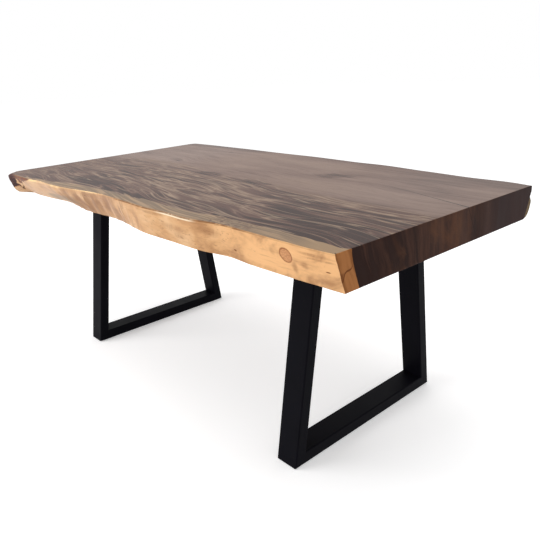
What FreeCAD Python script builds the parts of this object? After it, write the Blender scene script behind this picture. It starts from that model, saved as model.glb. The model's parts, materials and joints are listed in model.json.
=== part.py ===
import FreeCAD, Part
import math
import os

from FreeCAD import Vector

# A dining table: one thick slab sawn from a log, its two long edges left as the tree grew them, bolted down on
# two steel frames.  Millimetres, +X along the slab, +Z up.  The origin lies on the floor below the middle of the
# slab's own box.  The front is -Y and right is +X.

# The slab
table_height = 760.0
slab_thickness = 100.0
slab_length = 1898.0
slab_width = 1070.0
left_end_skew = 85.0
right_end_skew = 9.0
front_corner_round = 60.0
back_corner_round = 40.0
edge_ease = 2.0
saw_allowance = 12.0

# The log, measured at even steps from just outside the left end to just outside the right.  For each long edge:
# how far its crest stands in from the widest line, and how far its foot is tucked in under the crest.
front_crest_in = [0, 0, 2, 0, 4, 20, 16, 20, 28, 44, 49, 45, 38, 29, 32, 26, 49, 56, 55, 48, 47, 40]
front_tuck = [90, 91, 93, 97, 100, 94, 88, 70, 60, 51, 41, 33, 29, 35, 36, 42, 33, 26, 24, 31, 39, 50]
back_crest_in = [6, 2, 0, 2, 5, 6, 10, 15, 20, 22, 23, 29, 37, 45, 44, 54, 70, 81, 95, 102, 114, 112]
back_tuck = [38, 40, 37, 33, 30, 32, 36, 38, 34, 30, 27, 28, 31, 35, 38, 34, 30, 27, 24, 20, 15, 14]

# The bark's curve: the shares of the thickness over which it stays upright under the crest and runs straight
# into the foot, and the share of the tuck that is made between them.
crest_upright = 0.3
foot_straight = 0.35
tuck_between = 0.55

# The two frames
right_overhang = 297.0
frame_spacing = 1229.0
frame_offset_y = -12.0
frame_foot_width = 704.0
frame_head_width = 510.0
tube_width = 80.0
tube_depth = 40.0
tube_wall = 3.0
tube_corner = 4.5

# The plate across each frame's head, and its weld
plate_thickness = 6.0
plate_lip = 10.0
plate_end_margin = 30.0
plate_corner = 6.0
weld_leg = 5.0
weld_toe = 0.4

# The fasteners
bolt_diameter = 8.0
bolt_length = 30.0
bolt_head_height = 5.3
bolt_head_flats = 13.0
washer_diameter = 24.0
washer_thickness = 2.0
washer_clearance = 0.2
slot_clearance = 0.5
slot_travel = 12.0
insert_diameter = 12.0
insert_length = 20.0
thread_clearance = 0.05
bore_run_out = 5.0
bolt_row_margin = 20.0
bolt_gap = 35.0

# The rubber pads
pad_thickness = 3.0
pad_length = 70.0
pad_side_margin = 8.0
pad_end_margin = 14.0
pad_corner = 5.0

# Sizes that follow from those
up = Vector(0, 0, 1)
across_frame = Vector(1, 0, 0)
slab_underside = table_height - slab_thickness
plate_underside = slab_underside - plate_thickness
plate_width = tube_width + 2 * plate_lip
leg_lean = math.atan((frame_foot_width - frame_head_width) / 2 / (plate_underside - pad_thickness))
foot_corner = (frame_foot_width / 2, pad_thickness)
mitre_angle = math.radians(45) + leg_lean / 2
leg_head_depth = tube_depth / math.cos(leg_lean)
leg_head_y = (frame_head_width - leg_head_depth) / 2
bolt_x = plate_width / 2 - bolt_row_margin
bolt_y = frame_head_width / 2 + bolt_gap
plate_length = 2 * (bolt_y + plate_end_margin)
bolt_reach = bolt_length - washer_thickness - plate_thickness
bore_depth = max(insert_length, bolt_reach) + bore_run_out
stock_length = 2 * (frame_foot_width + table_height)


def rounded_rectangle(size_x, size_y, corner):
    """A level wire with arcs at its corners, centred on the origin."""
    reach_x = size_x / 2 - corner
    reach_y = size_y / 2 - corner
    arcs = []
    for start, side_x, side_y in ((0, 1, 1), (90, -1, 1), (180, -1, -1), (270, 1, -1)):
        middle = Vector(side_x * reach_x, side_y * reach_y, 0)
        arcs.append(Part.makeCircle(corner, middle, up, start, start + 90))
    edges = []
    for arc, following in zip(arcs, arcs[1:] + arcs[:1]):
        edges.append(arc)
        edges.append(Part.makeLine(arc.Vertexes[-1].Point, following.Vertexes[0].Point))
    return Part.Wire(edges)


def rectangle(size_x, size_y, centre_y=0.0, z=0.0):
    """A level wire with square corners, centred on x = 0."""
    corners = [
        Vector(side_x * size_x / 2, centre_y + side_y * size_y / 2, z)
        for side_x, side_y in ((1, 1), (-1, 1), (-1, -1), (1, -1), (1, 1))
    ]
    return Part.makePolygon(corners)


def prism(wire, height):
    return Part.Face(wire).extrude(up * height)


def clipped_prism(wire, height, clip):
    """A prism with its upright corners clipped."""
    block = prism(wire, height)
    uprights = [edge for edge in block.Edges if edge.BoundBox.ZLength > height / 2]
    return block.makeChamfer(clip, uprights)


def moved(shape, x, y, z=0.0):
    copy = shape.copy()
    copy.translate(Vector(x, y, z))
    return copy


def turned(shape):
    """The same shape at the other side of the frame, half a turn about the frame's own upright axis."""
    copy = shape.copy()
    copy.rotate(Vector(), up, 180)
    return copy


# ---- the slab

def bark_profile(x, crest_y, tuck, inward):
    """One edge of a cross-section: upright at the crest, then rounding in under it to the foot."""
    turn_y = crest_y + inward * tuck * tuck_between
    foot_run = foot_straight * slab_thickness
    beyond = 1 + (1 - tuck_between) * saw_allowance / foot_run
    curve = Part.BezierCurve()
    curve.setPoles([
        Vector(x, crest_y, table_height + saw_allowance),
        Vector(x, crest_y, table_height - crest_upright * slab_thickness),
        Vector(x, turn_y, slab_underside + foot_run),
        Vector(x, crest_y + inward * tuck * beyond, slab_underside - saw_allowance),
    ])
    return curve.toShape()


def log_section(index):
    """The cross-section at one step.  The first and last steps stand half a step outside the ends."""
    x = ((index - 0.5) / (len(front_crest_in) - 2) - 0.5) * slab_length
    front = bark_profile(x, front_crest_in[index] - slab_width / 2, front_tuck[index], 1)
    back = bark_profile(x, slab_width / 2 - back_crest_in[index], back_tuck[index], -1)
    top = Part.makeLine(front.Vertexes[0].Point, back.Vertexes[0].Point)
    bottom = Part.makeLine(back.Vertexes[-1].Point, front.Vertexes[-1].Point)
    return Part.Wire([top, back, bottom, front])


def end_point(side, skew, y):
    """A point of an end's saw cut, which runs out of square: it loses the skew at the slab's front."""
    return Vector(side * (slab_length / 2 - skew * (0.5 - y / slab_width)), y, slab_underside)


def rounded_off(corner, along_end, along_edge, radius):
    """The arc that takes a corner of the slab off, from the end cut round to the live edge."""
    middle = corner + (along_end + along_edge) * radius * (1 - math.sqrt(0.5))
    return Part.Arc(corner + along_end * radius, middle, corner + along_edge * radius).toShape()


def saw_cuts():
    """What the saw leaves of the log: two level faces, two ends and the rounded left corners."""
    outside_y = slab_width / 2 + saw_allowance
    front_corner = end_point(-1, left_end_skew, -slab_width / 2 + front_crest_in[1] - edge_ease)
    back_corner = end_point(-1, left_end_skew, slab_width / 2 - back_crest_in[1] + edge_ease)
    along_end = (back_corner - front_corner).normalize()
    along_edge = Vector(1, 0, 0)
    front_arc = rounded_off(front_corner, along_end, along_edge, front_corner_round)
    back_arc = rounded_off(back_corner, -along_end, along_edge, back_corner_round)
    front_end, front_side = [vertex.Point for vertex in front_arc.Vertexes]
    back_end, back_side = [vertex.Point for vertex in back_arc.Vertexes]
    outline = [
        front_side,
        Vector(front_side.x, -outside_y, slab_underside),
        end_point(1, right_end_skew, -outside_y),
        end_point(1, right_end_skew, outside_y),
        Vector(back_side.x, outside_y, slab_underside),
        back_side,
    ]
    sides = [Part.makeLine(start, end) for start, end in zip(outline, outline[1:])]
    wire = Part.Wire([front_arc] + sides + [back_arc, Part.makeLine(back_end, front_end)])
    return prism(wire, slab_thickness)


def sawn_slab():
    log = Part.makeLoft([log_section(index) for index in range(len(front_crest_in))], True)
    slab = log.common(saw_cuts())
    rim = [edge for edge in slab.Edges if edge.BoundBox.ZMin > table_height - 0.01]
    slab = slab.makeChamfer(edge_ease, rim)
    middle = slab.optimalBoundingBox(False, False).Center
    return moved(slab, -middle.x, -middle.y)


# ---- the frames, each drawn about x = 0, y = 0

def solid_bar():
    """The tube's outer form, before it is sawn to length: along +Z, centred on the origin."""
    bar = prism(rounded_rectangle(tube_width, tube_depth, tube_corner), stock_length)
    return moved(bar, 0, 0, -stock_length / 2)


def tube():
    bore = prism(rectangle(tube_width - 2 * tube_wall, tube_depth - 2 * tube_wall), stock_length)
    return solid_bar().cut(moved(bore, 0, 0, -stock_length / 2))


def waste(y, z, angle):
    """A block with one face through (y, z).  It lies on the side that the angle points to, from +Y towards +Z."""
    corner = Vector(-stock_length / 2, 0, -stock_length / 2)
    block = Part.makeBox(stock_length, stock_length, stock_length, corner)
    block.rotate(Vector(), across_frame, math.degrees(angle))
    return moved(block, 0, y, z)


def leg_blank(section):
    """A section along the leaning line of the rear leg, sawn level under the plate."""
    blank = section.copy()
    blank.rotate(Vector(), across_frame, math.degrees(leg_lean))
    axis_y = foot_corner[0] - tube_depth / 2 * math.cos(leg_lean)
    axis_z = foot_corner[1] - tube_depth / 2 * math.sin(leg_lean)
    return moved(blank, 0, axis_y, axis_z).cut(waste(0, plate_underside, math.radians(90)))


def rear_leg():
    """Mitred at the floor to meet the floor bar."""
    return leg_blank(tube()).cut(waste(*foot_corner, mitre_angle + math.pi))


def floor_bar():
    bar = tube()
    bar.rotate(Vector(), across_frame, 90)
    bar = moved(bar, 0, 0, pad_thickness + tube_depth / 2)
    rear_waste = waste(*foot_corner, mitre_angle)
    return bar.cut(rear_waste).cut(turned(rear_waste))


def at_bolts(shape):
    """Four copies, a pair on each of the plate's two ends, outside the legs."""
    return [moved(shape, x, y) for x in (-bolt_x, bolt_x) for y in (-bolt_y, bolt_y)]


def slot():
    """Runs across the grain, so that the slab can swell and shrink over the plate."""
    radius = bolt_diameter / 2 + slot_clearance
    ends = [
        Part.makeCylinder(radius, plate_thickness, Vector(0, side * slot_travel / 2, plate_underside))
        for side in (-1, 1)
    ]
    corner = Vector(-radius, -slot_travel / 2, plate_underside)
    return Part.makeBox(2 * radius, slot_travel, plate_thickness, corner).multiFuse(ends)


def top_plate():
    wire = rectangle(plate_width, plate_length, 0, plate_underside)
    blank = clipped_prism(wire, plate_thickness, plate_corner)
    return blank.cut(Part.makeCompound(at_bolts(slot())))


def rear_weld():
    """The fillet bead round a leg's head, between its four sides and the plate."""
    head_spread = 2 * weld_leg
    toe_spread = 2 * weld_toe
    toe_y = leg_head_y + weld_leg * math.tan(leg_lean)
    head = rectangle(tube_width + head_spread, leg_head_depth + head_spread, leg_head_y, plate_underside)
    toe = rectangle(tube_width + toe_spread, leg_head_depth + toe_spread, toe_y, plate_underside - weld_leg)
    return Part.makeLoft([toe, head], True, True).cut(leg_blank(solid_bar()))


def bolt():
    """Hexagon head below the washer, shank pointing up."""
    corner_radius = bolt_head_flats / 2 / math.cos(math.radians(30))
    corners = [
        Vector(corner_radius * math.cos(math.radians(angle)), corner_radius * math.sin(math.radians(angle)), 0)
        for angle in range(0, 361, 60)
    ]
    head = prism(Part.makePolygon(corners), bolt_head_height)
    shank = Part.makeCylinder(bolt_diameter / 2, bolt_length, Vector(0, 0, bolt_head_height))
    return moved(head.fuse(shank), 0, 0, plate_underside - washer_thickness - bolt_head_height)


def washer():
    base = Vector(0, 0, plate_underside - washer_thickness)
    ring = Part.makeCylinder(washer_diameter / 2, washer_thickness, base)
    return ring.cut(Part.makeCylinder(bolt_diameter / 2 + washer_clearance, washer_thickness, base))


def threaded_insert():
    """A sleeve sunk flush with the slab's underside."""
    base = Vector(0, 0, slab_underside)
    sleeve = Part.makeCylinder(insert_diameter / 2, insert_length, base)
    return sleeve.cut(Part.makeCylinder(bolt_diameter / 2 + thread_clearance, insert_length, base))


def rear_pad():
    centre_y = frame_foot_width / 2 - pad_end_margin - pad_length / 2
    wire = rectangle(tube_width - 2 * pad_side_margin, pad_length, centre_y)
    return clipped_prism(wire, pad_thickness, pad_corner)


def frame_parts():
    leg = rear_leg()
    weld = rear_weld()
    pad = rear_pad()
    return {
        "front_leg": turned(leg),
        "rear_leg": leg,
        "floor_bar": floor_bar(),
        "top_plate": top_plate(),
        "top_welds": Part.makeCompound([turned(weld), weld]),
        "mounting_bolts": Part.makeCompound(at_bolts(bolt())),
        "washers": Part.makeCompound(at_bolts(washer())),
        "threaded_inserts": Part.makeCompound(at_bolts(threaded_insert())),
        "front_floor_pad": turned(pad),
        "rear_floor_pad": pad,
    }


def insert_bores(frame_x):
    """The blind holes in the slab's underside that one frame's inserts are sunk in."""
    bore = Part.makeCylinder(insert_diameter / 2, bore_depth, Vector(0, 0, slab_underside))
    return moved(Part.makeCompound(at_bolts(bore)), frame_x, frame_offset_y)


slab = sawn_slab()
right_frame_x = slab.optimalBoundingBox(False, False).XMax - right_overhang
frame_places = {"left": right_frame_x - frame_spacing, "right": right_frame_x}
for frame_x in frame_places.values():
    slab = slab.cut(insert_bores(frame_x))

nodes = {"tabletop_slab": slab}
for side, frame_x in frame_places.items():
    for name, shape in frame_parts().items():
        nodes[side + "_" + name] = moved(shape, frame_x, frame_offset_y)

os.makedirs("parts", exist_ok=True)
for name, shape in nodes.items():
    shape.exportStep("parts/" + name + ".step")
    print(name, len(shape.Solids), "solids, valid" if shape.isValid() else "solids, NOT VALID")
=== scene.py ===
import json
import math

import bpy
import numpy as np
from mathutils import Matrix, Vector, noise


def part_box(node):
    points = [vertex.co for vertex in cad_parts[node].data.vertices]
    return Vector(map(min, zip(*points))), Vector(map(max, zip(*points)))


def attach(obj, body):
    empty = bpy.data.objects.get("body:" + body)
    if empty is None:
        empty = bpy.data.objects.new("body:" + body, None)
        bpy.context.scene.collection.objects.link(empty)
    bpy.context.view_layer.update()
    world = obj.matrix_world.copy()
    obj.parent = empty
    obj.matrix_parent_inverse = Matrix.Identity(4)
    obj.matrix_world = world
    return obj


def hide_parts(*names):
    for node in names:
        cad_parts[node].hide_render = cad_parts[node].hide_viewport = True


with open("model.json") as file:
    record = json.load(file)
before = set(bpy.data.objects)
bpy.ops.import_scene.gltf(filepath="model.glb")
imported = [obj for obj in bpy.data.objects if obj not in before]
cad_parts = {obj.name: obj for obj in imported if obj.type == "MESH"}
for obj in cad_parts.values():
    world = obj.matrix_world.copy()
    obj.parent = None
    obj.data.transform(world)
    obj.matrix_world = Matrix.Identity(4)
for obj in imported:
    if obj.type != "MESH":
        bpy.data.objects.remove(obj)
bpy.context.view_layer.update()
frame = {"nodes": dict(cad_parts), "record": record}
cadNodes = frame["nodes"]
slabLow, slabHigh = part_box("tabletop_slab")
print("frame loaded")


def deselectAll():
    if bpy.context.mode != "OBJECT":
        bpy.ops.object.mode_set(mode="OBJECT")
    bpy.ops.object.select_all(action="DESELECT")


# the camera

cameraView = {
    "place": (1.6755, -1.3484, 1.1281),
    "turn": -0.8651,      # radians, from +Y towards +X
    "tilt": 0.3471,       # downwards
    "roll": -0.0476,
    "lens": 37.77,
    "sensor": 36,
    "shift": (0.0379, 0.0099),
    "farthest": 200,
}


def setCamera():
    turn, tilt, roll = cameraView["turn"], cameraView["tilt"], cameraView["roll"]
    ahead = Vector((math.sin(turn) * math.cos(tilt), math.cos(turn) * math.cos(tilt), -math.sin(tilt)))
    level = Vector((math.cos(turn), -math.sin(turn), 0))
    upright = level.cross(ahead)
    right = math.cos(roll) * level + math.sin(roll) * upright
    top = math.cos(roll) * upright - math.sin(roll) * level
    bpy.ops.object.camera_add()
    camera = bpy.context.object
    camera.name = "tableCamera"
    axes = Matrix((right, top, -ahead)).transposed().to_4x4()
    camera.matrix_world = Matrix.Translation(cameraView["place"]) @ axes
    camera.data.sensor_width = cameraView["sensor"]
    camera.data.lens = cameraView["lens"]
    camera.data.shift_x, camera.data.shift_y = cameraView["shift"]
    camera.data.clip_end = cameraView["farthest"]
    bpy.context.scene.camera = camera


deselectAll()
setCamera()
bpy.context.scene.view_settings.view_transform = "Standard"
print("camera set")


# the slab's form

slabPlan = {
    "liveStep": 0.0045,             # spacing of the columns along the live edges
    "endSteps": 70,                 # from column to column across each sawn end
    "turnSteps": 3,                 # from the live edge's last column to the corner of the right end
    "liveRows": 25,                 # from the foot to the crest
    "rimRows": 4,                   # round each rim
    "fanColumns": 30,
    "cornerColumns": 7,             # of the front corner's fan, how many belong to the sawn end
    "frontPivot": (-0.77, -0.40),   # the columns fan round these at the two left corners
    "backPivot": (-0.86, 0.42),
    "sideCast": 0.7,                # where the rays start that find the CAD's surface: from the middle line
    "fanCast": 0.4,                 # from a pivot
    "endCast": 1.2,                 # and from the middle of the length
    "endPlaces": (-0.35, 0.35),     # the right end's line is found at these two places across it
    "endGap": 0.012,                # the live edges' last columns stand this far from the right end
    "insideBox": (0.0001, 0.0003),  # kept back from the CAD's box, along and across
    "underCrest": 0.003,            # the CAD's surface is read no nearer to the top than this
    "fairing": 40,                  # passes that even out the live edges, along them and up them
    "fairingUp": 7,
    "crestEase": 0.0024,            # how far the rims are rounded over
    "footEase": 0.0018,
    # the front left corner is worn at the top and at the foot
    "wornCrest": {
        "corner": (-0.859, -0.530), "reach": 0.060, "inset": 0.018, "drop": 0.009, "bluntness": 0.8,
    },
    "wornFoot": {
        "corner": (-0.862, -0.495), "reach": 0.100, "inset": 0.085, "drop": 0.0075, "bluntness": 4.0,
    },
    "capInset": 0.004,              # the level faces' own outline lies this far inside the rounding
    "planed": 0.92,                 # faces that look up or down more than this are planed
    "planedInCorner": 0.99,         # and in the worn corner more than this
    "wornCorner": (-0.76, -0.40),
    "smoothAngle": 38,
}

barkPlan = {
    # the depths of the broad hollows, the ripples and the flutes, and how small their patches are
    "swell": 0.0030,
    "swellPatch": (7, 14),          # patches per metre, along and up
    "ripple": 0.0008,
    "ripplePatch": (34, 90),
    "fluteDepth": 0.0052,
    "fluteSpan": (-0.56, -0.36, -0.04, 0.16),
    "fluteSpacing": 0.062,
    "fluteLean": 0.55,
    "fluteWander": 0.4,
    "flutePatch": (9, 9),
    "sidesApart": 3.7,              # in the noise, so that the two live edges differ
    # by share of the way down, where each comes in and where it is full
    "swellDown": (0.0, 0.35),
    "rippleDown": (0.0, 0.2),
    "fluteDown": (0.05, 0.4),
    "fluteFades": (0.7, 1),         # and where the flutes grow shallower again
    "fluteShallower": 0.6,
    "crestFades": (0.1, 0.95),      # and where the crest's swell dies away
    "footDown": (0.3, 1.0),
    "knot": (0.7855, 0.0360, 0.0195, 0.0190),       # place along and below the top, and half sizes
    "knotGroove": 0.0014,           # the depth of the groove round it
    "knotGrooveWidth": 0.16,        # as a share of the knot's size
    "knotSink": 0.0006,             # how far its middle is sunk
    # how far the crest and the foot stand out, by place along the slab
    "crestSwell": (
        (-0.76, 0.0), (-0.62, 0.008), (-0.50, 0.013), (-0.35, 0.012), (-0.22, 0.008), (0.06, 0.009),
        (0.16, 0.006), (0.25, 0.001), (0.42, -0.004), (0.52, 0.002), (0.63, 0.007), (0.74, 0.007),
        (0.80, 0.002), (0.88, 0.001), (0.95, 0.003),
    ),
    "footSwell": (
        (-0.76, 0.0), (0.0, 0.0), (0.06, 0.0035), (0.16, 0.0035), (0.24, 0.001), (0.33, 0.004), (0.45, 0.003),
        (0.55, 0.0), (0.63, 0.004), (0.72, 0.001), (0.86, 0.0), (0.947, 0.007),
    ),
    # how far the front left corner and the back right corner stand out, by share of the way down
    "frontCorner": (
        (0, 0.010), (0.2, 0.011), (0.4, 0.015), (0.6, 0.028), (0.8, 0.044), (0.93, 0.051), (1, 0.040),
    ),
    "frontCornerAim": (0.079, -1, 0),
    "frontCornerReach": 0.05,
    "backCorner": (
        (0, 0.0085), (0.17, 0.0137), (0.33, 0.0085), (0.49, 0.0215), (0.7, 0.0205), (0.87, 0.014),
        (0.94, 0.006), (1, -0.012),
    ),
    "backCornerSpan": (-0.24, -0.02),               # from the right end
    "carvedFrom": {-1: (0.08, 0.16), 1: (-0.01, 0.07)},     # from the left end, for the front and the back
}


def smoothStep(low, high, value):
    t = min(max((value - low) / (high - low), 0), 1)
    return t * t * (3 - 2 * t)


def shareDown(z):
    return (slabHigh.z - z) / (slabHigh.z - slabLow.z)


def surfacePoint(start, aim):
    found, place, _, _ = cadNodes["tabletop_slab"].ray_cast(Vector(start), Vector(aim))
    if not found:
        raise ValueError("no slab surface met from " + str(tuple(start)))
    return place


def faired(values, passes):
    for _ in range(passes):
        values[1:-1] = (values[:-2] + 2 * values[1:-1] + values[2:]) / 4
    return values


def fairedUp(lines):
    # evens out each column from the foot to the crest
    grid = faired(np.array([[tuple(point) for point in line] for line in lines]), slabPlan["fairingUp"])
    return [[Vector(point) for point in line] for line in grid]


def byPlace(table, place):
    places, values = zip(*table)
    return float(np.interp(place, places, values))


def liveLine(pivot, z, side):
    # one live edge at one height, from its pivot to the right end
    lastX = slabHigh.x - slabPlan["endGap"]
    xs = np.linspace(pivot[0], lastX, round((lastX - pivot[0]) / slabPlan["liveStep"]))
    ys = np.array([surfacePoint((x, side * slabPlan["sideCast"], z), (0, -side, 0)).y for x in xs])
    return [Vector((x, y, z)) for x, y in zip(xs, faired(ys, slabPlan["fairing"]))]


def fanLine(pivot, z, startAngle):
    # a quarter of a turn round a pivot
    points = []
    for i in range(1, slabPlan["fanColumns"]):
        angle = startAngle + math.pi / 2 * i / slabPlan["fanColumns"]
        away = Vector((math.cos(angle), math.sin(angle), 0))
        points.append(surfacePoint(Vector((*pivot, z)) + away * slabPlan["fanCast"], -away))
    return points


def liveSides(z):
    # the front and the back edge at one height, each with its rounded left corner, running anticlockwise
    frontPivot, backPivot = slabPlan["frontPivot"], slabPlan["backPivot"]
    front = fanLine(frontPivot, z, math.pi) + liveLine(frontPivot, z, -1)
    back = liveLine(backPivot, z, 1)[::-1] + fanLine(backPivot, z, math.pi / 2)
    return front, back


def between(start, end, count):
    return [start.lerp(end, i / count) for i in range(1, count)]


def inwardNormals(points):
    # level normals of a closed outline that runs anticlockwise, longer at sharp corners to keep an even inset
    count = len(points)
    sides = []
    for i in range(count):
        run = points[(i + 1) % count] - points[i]
        sides.append(Vector((-run.y, run.x, 0)).normalized())
    return [(sides[i - 1] + sides[i]) / (1 + sides[i - 1].dot(sides[i])) for i in range(count)]


def patch(x, side, z, scale):
    return noise.noise(Vector((x * scale[0], side * barkPlan["sidesApart"], z * scale[1])))


def fluteDepth(x, z, side):
    start, full, ease, end = barkPlan["fluteSpan"]
    inSpan = smoothStep(start, full, x) * (1 - smoothStep(ease, end, x))
    phase = (x + barkPlan["fluteLean"] * (slabHigh.z - z)) / barkPlan["fluteSpacing"]
    phase += barkPlan["fluteWander"] * patch(x, side + 5, z, barkPlan["flutePatch"])
    wave = 0.5 + 0.5 * math.sin(math.tau * phase)
    comingIn = smoothStep(*barkPlan["fluteDown"], shareDown(z))
    shallower = barkPlan["fluteShallower"] * smoothStep(*barkPlan["fluteFades"], shareDown(z))
    return barkPlan["fluteDepth"] * inSpan * wave * comingIn * (1 - shallower)


def knotDepth(x, z):
    knotX, knotDown, halfLength, halfHeight = barkPlan["knot"]
    away = math.hypot((x - knotX) / halfLength, (slabHigh.z - z - knotDown) / halfHeight)
    groove = barkPlan["knotGroove"] * math.exp(-((away - 1) / barkPlan["knotGrooveWidth"]) ** 2)
    return groove + barkPlan["knotSink"] * (1 - smoothStep(0.8, 1, away))


def carveDepth(point, side):
    # how far inside the CAD's surface a live edge is cut
    x, z = point.x, point.z
    down = shareDown(z)
    swell = 0.5 + 0.5 * patch(x, side, z, barkPlan["swellPatch"])
    ripple = 1 + patch(x + 3, side, z, barkPlan["ripplePatch"])
    depth = barkPlan["swell"] * swell * smoothStep(*barkPlan["swellDown"], down)
    depth += barkPlan["ripple"] * ripple * (0.3 + 0.7 * smoothStep(*barkPlan["rippleDown"], down))
    depth += fluteDepth(x, z, side)
    if side < 0:
        depth -= byPlace(barkPlan["crestSwell"], x) * (1 - smoothStep(*barkPlan["crestFades"], down))
        depth -= byPlace(barkPlan["footSwell"], x) * smoothStep(*barkPlan["footDown"], down)
        return depth + knotDepth(x, z)
    start, full = (slabHigh.x + place for place in barkPlan["backCornerSpan"])
    return depth - byPlace(barkPlan["backCorner"], down) * smoothStep(start, full, x)


def carve(line, side):
    carved = []
    start, full = (slabLow.x + place for place in barkPlan["carvedFrom"][side])
    for i, point in enumerate(line):
        run = line[min(i + 1, len(line) - 1)] - line[max(i - 1, 0)]
        inward = Vector((-run.y, run.x, 0)).normalized()
        if i in (0, len(line) - 1):
            inward = Vector((0, -side, 0))
        share = smoothStep(start, full, point.x)
        carved.append(point + inward * carveDepth(point, side) * share)
    return carved


def flareCorner(line):
    # the front left corner stands out, most of all towards its foot
    sharpest = min(range(len(line)), key=lambda i: line[i].x + line[i].y)
    corner = line[sharpest].copy()
    for i, point in enumerate(line):
        if i <= sharpest:
            share = smoothStep(line[0].y, corner.y, point.y) if corner.y < line[0].y else 0
        else:
            share = 1 - smoothStep(corner.x, corner.x + barkPlan["frontCornerReach"], point.x)
        outward = byPlace(barkPlan["frontCorner"], shareDown(point.z)) * share
        point += Vector(barkPlan["frontCornerAim"]) * outward


def endPlace(y, z):
    # where the sawn right end stands
    height = min(z, slabHigh.z - slabPlan["underCrest"])
    places = slabPlan["endPlaces"]
    first, last = (surfacePoint((slabPlan["endCast"], place, height), (-1, 0, 0)).x for place in places)
    along = first + (last - first) * (y - places[0]) / (places[1] - places[0])
    return min(along, slabHigh.x - slabPlan["insideBox"][0])


def closedOutline(front, back, z):
    # the front edge, the right end, the back edge and the left end at one height
    flareCorner(front)
    front, back = carve(front, -1), carve(back, 1)
    frontEnd, backEnd = 2 * front[-1] - front[-2], 2 * back[0] - back[1]
    for end in (frontEnd, backEnd):
        end.x = endPlace(end.y, z)
    front = front + between(front[-1], frontEnd, slabPlan["turnSteps"]) + [frontEnd]
    back = [backEnd] + between(backEnd, back[0], slabPlan["turnSteps"]) + back
    rightEnd = between(frontEnd, backEnd, slabPlan["endSteps"])
    leftEnd = between(back[-1], front[0], slabPlan["endSteps"])
    for point in front + rightEnd + back + leftEnd:
        point.y = max(point.y, slabLow.y + slabPlan["insideBox"][1])
        point.z = z
    return front, rightEnd, back, leftEnd


def wear(point, worn):
    # how far the worn corner is inset towards its pivot, and how far it drops
    cornerX, cornerY = worn["corner"]
    near = 1 - smoothStep(0.0, worn["reach"], math.hypot(point.x - cornerX, point.y - cornerY))
    away = Vector((*slabPlan["frontPivot"], point.z)) - point
    return away.normalized() * worn["inset"] * near, worn["drop"] * near


def rimRows(outline, level, inside, plain, worn):
    # rounds the edge over, from the outline to the flat face, and ends just inside it
    rows = []
    normals = inwardNormals(outline)
    for step in range(1, slabPlan["rimRows"] + 1):
        angle = math.pi / 2 * step / slabPlan["rimRows"]
        share, rise = 1 - math.cos(angle), 1 - math.sin(angle)
        row = []
        for point, inward in zip(outline, normals):
            inset, drop = wear(point, worn)
            spot = point + (inward * plain + inset) * share
            spot.z = level + inside * (plain * rise + drop * (1 - share ** worn["bluntness"]))
            row.append(spot)
        rows.append(row)
    rows.append([spot + inward * slabPlan["capInset"] for spot, inward in zip(rows[-1], normals)])
    return rows


def slabRows():
    # every row of the skin from the underside to the top, and how many columns each of the four sides has
    crest, foot = slabHigh.z, slabLow.z
    crestEase, footEase = slabPlan["crestEase"], slabPlan["footEase"]
    wornCrest, wornFoot = slabPlan["wornCrest"], slabPlan["wornFoot"]
    levels = np.linspace(foot + footEase, crest - crestEase, slabPlan["liveRows"])
    sides = [liveSides(min(z, crest - slabPlan["underCrest"])) for z in levels]
    fronts, backs = (fairedUp([pair[i] for pair in sides]) for i in (0, 1))
    outlines = [closedOutline(*lines) for lines in zip(fronts, backs, levels)]
    live = [sum(outline, []) for outline in outlines]
    for share, row in zip(np.linspace(0, 1, len(live)), live):
        for point in row:
            low = foot + footEase + wear(point, wornFoot)[1]
            high = crest - crestEase - wear(point, wornCrest)[1]
            point.z = low + share * (high - low)
    lowRim = rimRows(live[0], foot, 1, footEase, wornFoot)
    rows = lowRim[::-1] + live + rimRows(live[-1], crest, -1, crestEase, wornCrest)
    return rows, [len(side) for side in outlines[0]]


def sawnColumns(counts):
    # for each column from the front left corner on, whether the surface past it is a sawn end
    frontLast, backFirst, backLast = counts[0] - 1, counts[0] + counts[1], sum(counts[:3])
    rightEnd = range(frontLast, backFirst)
    leftEnd = range(backLast - slabPlan["fanColumns"] // 2, sum(counts))    # with half the back corner's fan
    corner = range(slabPlan["cornerColumns"])
    return [column in corner or column in rightEnd or column in leftEnd for column in range(sum(counts))]


def woodKind(face, columns, sawn):
    # 0 for the planed faces, with the many-sided caps, 1 for the sawn ends and 2 for the live edges
    cornerX, cornerY = slabPlan["wornCorner"]
    inCorner = face.center.x < cornerX and face.center.y < cornerY
    planed = slabPlan["planedInCorner"] if inCorner else slabPlan["planed"]
    if len(columns) > 4 or abs(face.normal.z) > planed:
        return 0
    column = max(columns) if max(columns) - min(columns) > 1 else min(columns)
    return 1 if sawn[column] else 2


def pickEdges(piece, wanted):
    # leaves the piece in edit mode with only the wanted edges selected
    bpy.ops.object.mode_set(mode="EDIT")
    bpy.ops.mesh.select_mode(type="EDGE")
    bpy.ops.mesh.select_all(action="DESELECT")
    bpy.ops.object.mode_set(mode="OBJECT")
    for edge in piece.data.edges:
        edge.select = wanted(*(piece.data.vertices[v].co for v in edge.vertices))
    bpy.ops.object.mode_set(mode="EDIT")


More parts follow.
